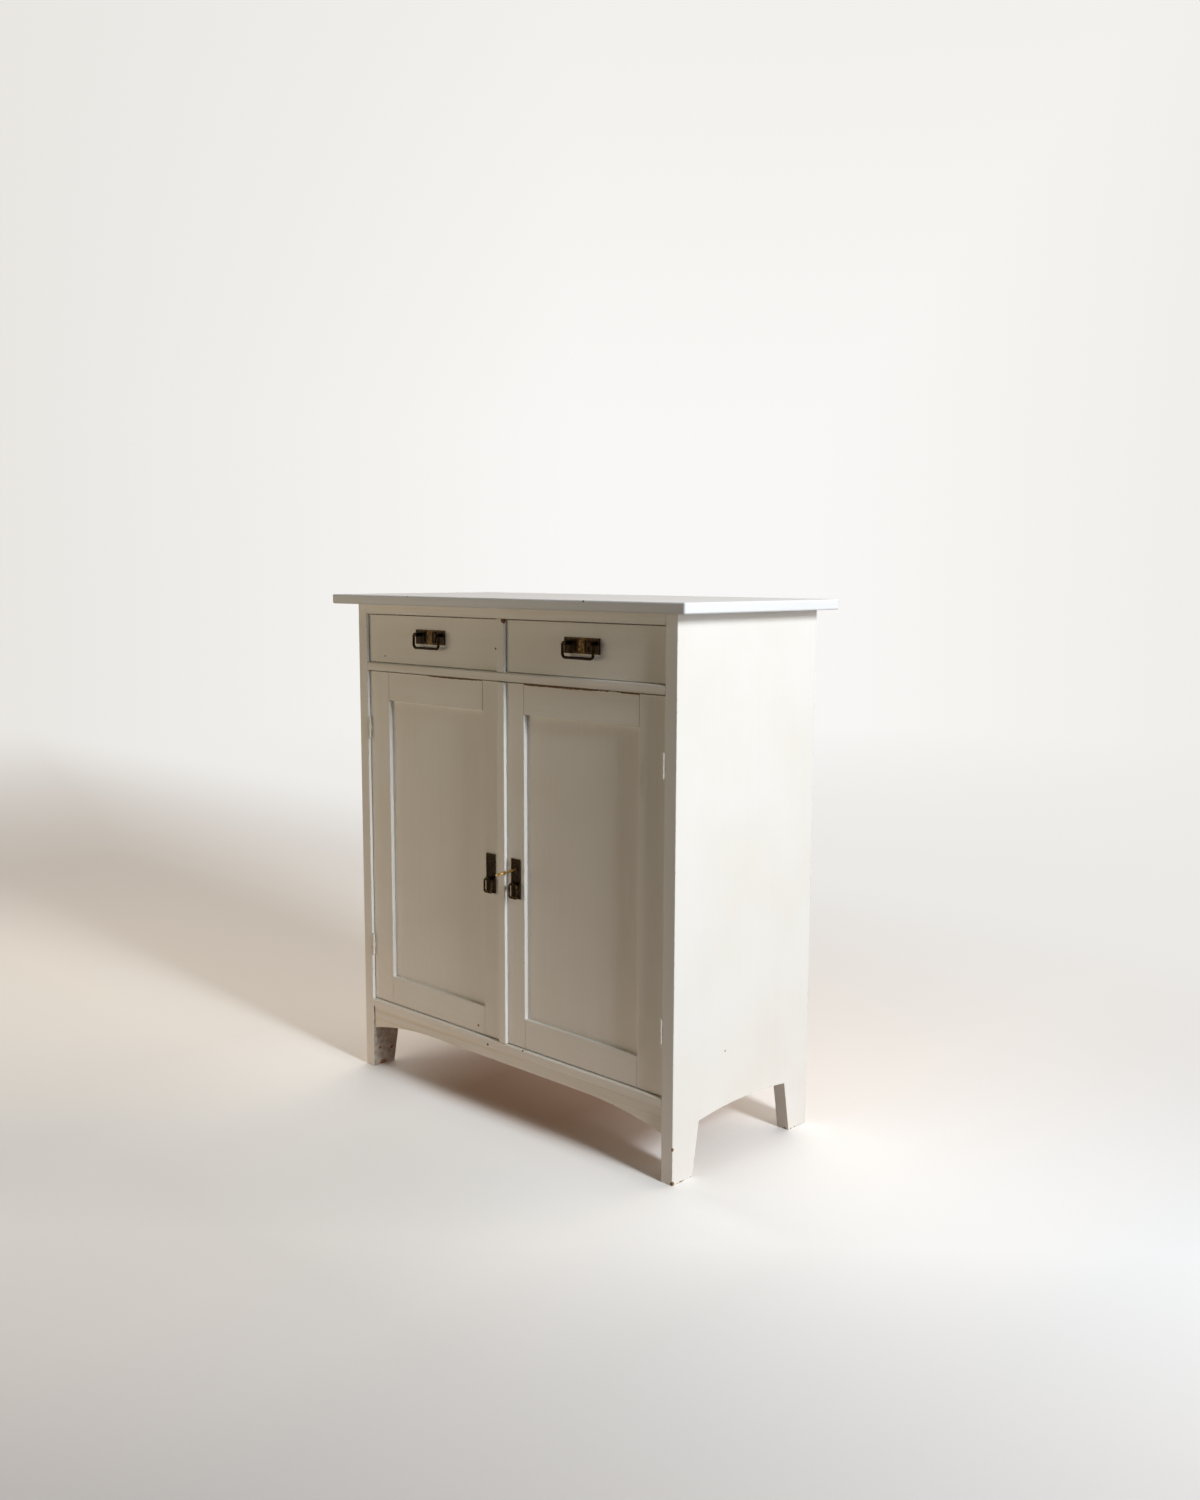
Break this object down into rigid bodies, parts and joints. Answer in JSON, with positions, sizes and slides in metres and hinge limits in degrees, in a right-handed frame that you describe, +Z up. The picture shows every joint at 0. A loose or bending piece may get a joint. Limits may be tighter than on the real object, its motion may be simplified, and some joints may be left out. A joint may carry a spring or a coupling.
{
  "type": "cupboard",
  "caption": "White-painted free-standing linen cupboard with drawers side by side over framed doors, dark bail and drop pulls, sawn feet and a key in the right door.",
  "frame": {"origin": "on the floor, under the middle of the box round the whole cupboard and its key", "axes": "+Z up, +X to the right along the front, -Y out of the front"},
  "size_m": [1.1, 0.5098, 1.158],
  "materials": {
    "painted_wood": "brushed white oil paint on pine, worn at the edges",
    "bare_wood": "old bare pine",
    "painted_hinge": "painted over",
    "dark_brass": "dark antique, satin",
    "bright_brass": "rubbed bright",
    "steel": "dull, old"
  },
  "bodies": {
    "carcass": {"top_board": "painted_wood", "left_side": "painted_wood", "right_side": "painted_wood", "back_boards": "bare_wood", "bottom_board": "painted_wood", "shelf": "bare_wood", "shelf_cleats": "bare_wood", "front_apron": "painted_wood", "mid_rail": "painted_wood", "top_front_rail": "painted_wood", "top_rear_rail": "bare_wood", "runner_rear_rail": "bare_wood", "drawer_divider": "painted_wood", "side_runners": "bare_wood", "centre_runner": "bare_wood", "left_hinge_frame_leaves": "painted_hinge", "right_hinge_frame_leaves": "painted_hinge", "hinge_pins": "painted_hinge", "frame_hinge_screws": "steel"},
    "left_door": {"left_hinge_stile": "painted_wood", "left_meeting_stile": "painted_wood", "left_door_top_rail": "painted_wood", "left_door_bottom_rail": "painted_wood", "left_door_panel": "painted_wood", "left_hinge_door_leaves": "painted_hinge", "left_door_screws": "steel", "left_door_plate": "dark_brass", "bolt_guides": "steel"},
    "right_door": {"right_hinge_stile": "painted_wood", "right_meeting_stile": "painted_wood", "right_door_top_rail": "painted_wood", "right_door_bottom_rail": "painted_wood", "right_door_panel": "painted_wood", "meeting_strip": "painted_wood", "right_hinge_door_leaves": "painted_hinge", "right_door_screws": "steel", "right_door_plate": "dark_brass", "lock_case": "steel"},
    "left_drawer": {"left_drawer_front": "painted_wood", "left_drawer_left_side": "bare_wood", "left_drawer_right_side": "bare_wood", "left_drawer_back": "bare_wood", "left_drawer_bottom": "bare_wood", "left_drawer_plate": "dark_brass", "left_drawer_pull_bolts": "dark_brass"},
    "right_drawer": {"right_drawer_front": "painted_wood", "right_drawer_left_side": "bare_wood", "right_drawer_right_side": "bare_wood", "right_drawer_back": "bare_wood", "right_drawer_bottom": "bare_wood", "right_drawer_plate": "dark_brass", "right_drawer_pull_bolts": "dark_brass"},
    "left_door_bail": {"left_door_bail": "dark_brass"},
    "right_door_bail": {"right_door_bail": "dark_brass"},
    "left_drawer_bail": {"left_drawer_bail": "dark_brass"},
    "right_drawer_bail": {"right_drawer_bail": "dark_brass"},
    "key": {"key": "bright_brass"},
    "lock_bolt": {"lock_bolt": "steel"},
    "upper_bolt": {"upper_bolt": "steel"},
    "lower_bolt": {"lower_bolt": "steel"}
  },
  "joints": [
    {"name": "left_door_swing", "type": "hinge", "parent": "carcass", "child": "left_door", "pos_m": [-0.4667, -0.2021, 0.576], "axis": [0, 0, -1], "range_deg": [0, 175]},
    {"name": "right_door_swing", "type": "hinge", "parent": "carcass", "child": "right_door", "pos_m": [0.4667, -0.2021, 0.576], "axis": [0, 0, 1], "range_deg": [0, 175]},
    {"name": "left_drawer_slide", "type": "slide", "parent": "carcass", "child": "left_drawer", "axis": [0, -1, 0], "range_m": [0, 0.3]},
    {"name": "right_drawer_slide", "type": "slide", "parent": "carcass", "child": "right_drawer", "axis": [0, -1, 0], "range_m": [0, 0.3]},
    {"name": "left_drawer_bail_swing", "type": "hinge", "parent": "left_drawer", "child": "left_drawer_bail", "pos_m": [-0.2405, -0.2111, 1.07], "axis": [-1, 0, 0], "range_deg": [-15, 100]},
    {"name": "right_drawer_bail_swing", "type": "hinge", "parent": "right_drawer", "child": "right_drawer_bail", "pos_m": [0.2405, -0.2111, 1.07], "axis": [-1, 0, 0], "range_deg": [-15, 100]},
    {"name": "left_door_bail_swing", "type": "hinge", "parent": "left_door", "child": "left_door_bail", "pos_m": [-0.0405, -0.2071, 0.541], "axis": [-1, 0, 0], "range_deg": [-8, 95]},
    {"name": "right_door_bail_swing", "type": "hinge", "parent": "right_door", "child": "right_door_bail", "pos_m": [0.0405, -0.2071, 0.541], "axis": [-1, 0, 0], "range_deg": [-8, 95]},
    {"name": "key_turn", "type": "hinge", "parent": "right_door", "child": "key", "pos_m": [0.0405, -0.16985, 0.5743], "axis": [0, -0.9976, -0.0698], "range_deg": [0, 180]},
    {"name": "lock_bolt_slide", "type": "slide", "parent": "right_door", "child": "lock_bolt", "axis": [-1, 0, 0], "range_m": [0, 0.0119]},
    {"name": "upper_bolt_slide", "type": "slide", "parent": "left_door", "child": "upper_bolt", "axis": [0, 0, 1], "range_m": [0, 0.014]},
    {"name": "lower_bolt_slide", "type": "slide", "parent": "left_door", "child": "lower_bolt", "axis": [0, 0, -1], "range_m": [0, 0.014]}
  ],
  "couplings": [
    {"joint": "key_turn", "follows": "lock_bolt_slide", "rad_per_m": 263.16}
  ]
}
